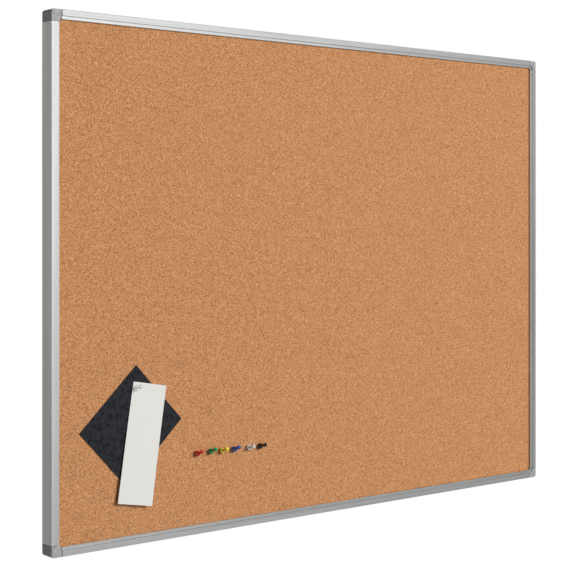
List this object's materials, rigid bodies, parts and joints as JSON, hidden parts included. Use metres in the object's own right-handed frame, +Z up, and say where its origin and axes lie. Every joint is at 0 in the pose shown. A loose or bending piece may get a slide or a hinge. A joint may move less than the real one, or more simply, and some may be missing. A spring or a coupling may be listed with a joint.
{
  "type": "cork board",
  "caption": "Wall-hung cork board in a stepped aluminium frame with pull-off corner caps over hidden wall screws, holding push pins, a square card and a paper strip.",
  "frame": {"origin": "middle of the board's back, on the wall plane", "axes": "+X right as seen from the front, +Y back into the wall, +Z up; the cork faces -Y"},
  "size_m": [1.2, 0.0423, 0.9],
  "materials": {
    "anodised_rail": "satin",
    "corner_cap": "matte",
    "corner_block": "matte",
    "screw_steel": "satin",
    "cork_layer": "matte",
    "softboard_layer": "matte",
    "backing_layer": "matte",
    "needle_steel": "polished",
    "pin_plastic_red": "gloss",
    "pin_plastic_green": "gloss",
    "pin_plastic_yellow": "gloss",
    "pin_plastic_blue": "gloss",
    "pin_plastic_clear": "gloss",
    "pin_plastic_black": "gloss",
    "dark_card": "matte",
    "white_paper": "matte"
  },
  "bodies": {
    "frame": {"rail_top": "anodised_rail", "rail_right": "anodised_rail", "rail_bottom": "anodised_rail", "rail_left": "anodised_rail", "corner_block_top_left": "corner_block", "corner_block_top_right": "corner_block", "corner_block_bottom_right": "corner_block", "corner_block_bottom_left": "corner_block", "frame_screw_top_left_1": "screw_steel", "frame_screw_top_left_2": "screw_steel", "frame_screw_top_right_1": "screw_steel", "frame_screw_top_right_2": "screw_steel", "frame_screw_bottom_right_1": "screw_steel", "frame_screw_bottom_right_2": "screw_steel", "frame_screw_bottom_left_1": "screw_steel", "frame_screw_bottom_left_2": "screw_steel", "cork_sheet": "cork_layer", "softboard_core": "softboard_layer", "backing_sheet": "backing_layer"},
    "cap_top_left": {"corner_cap_top_left": "corner_cap"},
    "cap_top_right": {"corner_cap_top_right": "corner_cap"},
    "cap_bottom_right": {"corner_cap_bottom_right": "corner_cap"},
    "cap_bottom_left": {"corner_cap_bottom_left": "corner_cap"},
    "pin_red": {"pin_grip_red": "pin_plastic_red", "pin_needle_red": "needle_steel"},
    "pin_green": {"pin_grip_green": "pin_plastic_green", "pin_needle_green": "needle_steel"},
    "pin_yellow": {"pin_grip_yellow": "pin_plastic_yellow", "pin_needle_yellow": "needle_steel"},
    "pin_blue": {"pin_grip_blue": "pin_plastic_blue", "pin_needle_blue": "needle_steel"},
    "pin_clear": {"pin_grip_clear": "pin_plastic_clear", "pin_needle_clear": "needle_steel"},
    "pin_black": {"pin_grip_black": "pin_plastic_black", "pin_needle_black": "needle_steel"},
    "pin_note": {"pin_grip_note": "pin_plastic_clear", "pin_needle_note": "needle_steel"},
    "card": {"note_card": "dark_card"},
    "strip": {"note_strip": "white_paper"}
  },
  "joints": [
    {"name": "cap_top_left_pull", "type": "slide", "parent": "frame", "child": "cap_top_left", "axis": [0, -1, 0], "range_m": [0, 0.035]},
    {"name": "cap_top_right_pull", "type": "slide", "parent": "frame", "child": "cap_top_right", "axis": [0, -1, 0], "range_m": [0, 0.035]},
    {"name": "cap_bottom_right_pull", "type": "slide", "parent": "frame", "child": "cap_bottom_right", "axis": [0, -1, 0], "range_m": [0, 0.035]},
    {"name": "cap_bottom_left_pull", "type": "slide", "parent": "frame", "child": "cap_bottom_left", "axis": [0, -1, 0], "range_m": [0, 0.035]},
    {"name": "pin_red_pull", "type": "slide", "parent": "frame", "child": "pin_red", "axis": [0.2552, -0.89, 0.3778], "range_m": [0, 0.014]},
    {"name": "pin_green_pull", "type": "slide", "parent": "frame", "child": "pin_green", "axis": [0.2534, -0.8837, 0.3935], "range_m": [0, 0.014]},
    {"name": "pin_yellow_pull", "type": "slide", "parent": "frame", "child": "pin_yellow", "axis": [0.2885, -0.8878, 0.3587], "range_m": [0, 0.014]},
    {"name": "pin_blue_pull", "type": "slide", "parent": "frame", "child": "pin_blue", "axis": [0.2221, -0.8907, 0.3966], "range_m": [0, 0.014]},
    {"name": "pin_clear_pull", "type": "slide", "parent": "frame", "child": "pin_clear", "axis": [0.2011, -0.9462, 0.2535], "range_m": [0, 0.014]},
    {"name": "pin_black_pull", "type": "slide", "parent": "frame", "child": "pin_black", "axis": [0.2645, -0.9223, 0.282], "range_m": [0, 0.014]},
    {"name": "pin_note_pull", "type": "slide", "parent": "frame", "child": "pin_note", "axis": [0.0168, -0.9611, 0.2756], "range_m": [0, 0.014]},
    {"name": "card_swing", "type": "hinge", "parent": "pin_note", "child": "card", "pos_m": [-0.43124, -0.0252, -0.18393], "axis": [0, -1, 0], "range_deg": [-25, 25]},
    {"name": "strip_swing", "type": "hinge", "parent": "pin_note", "child": "strip", "pos_m": [-0.43123, -0.02585, -0.18375], "axis": [0, -1, 0], "range_deg": [-35, 30]}
  ]
}
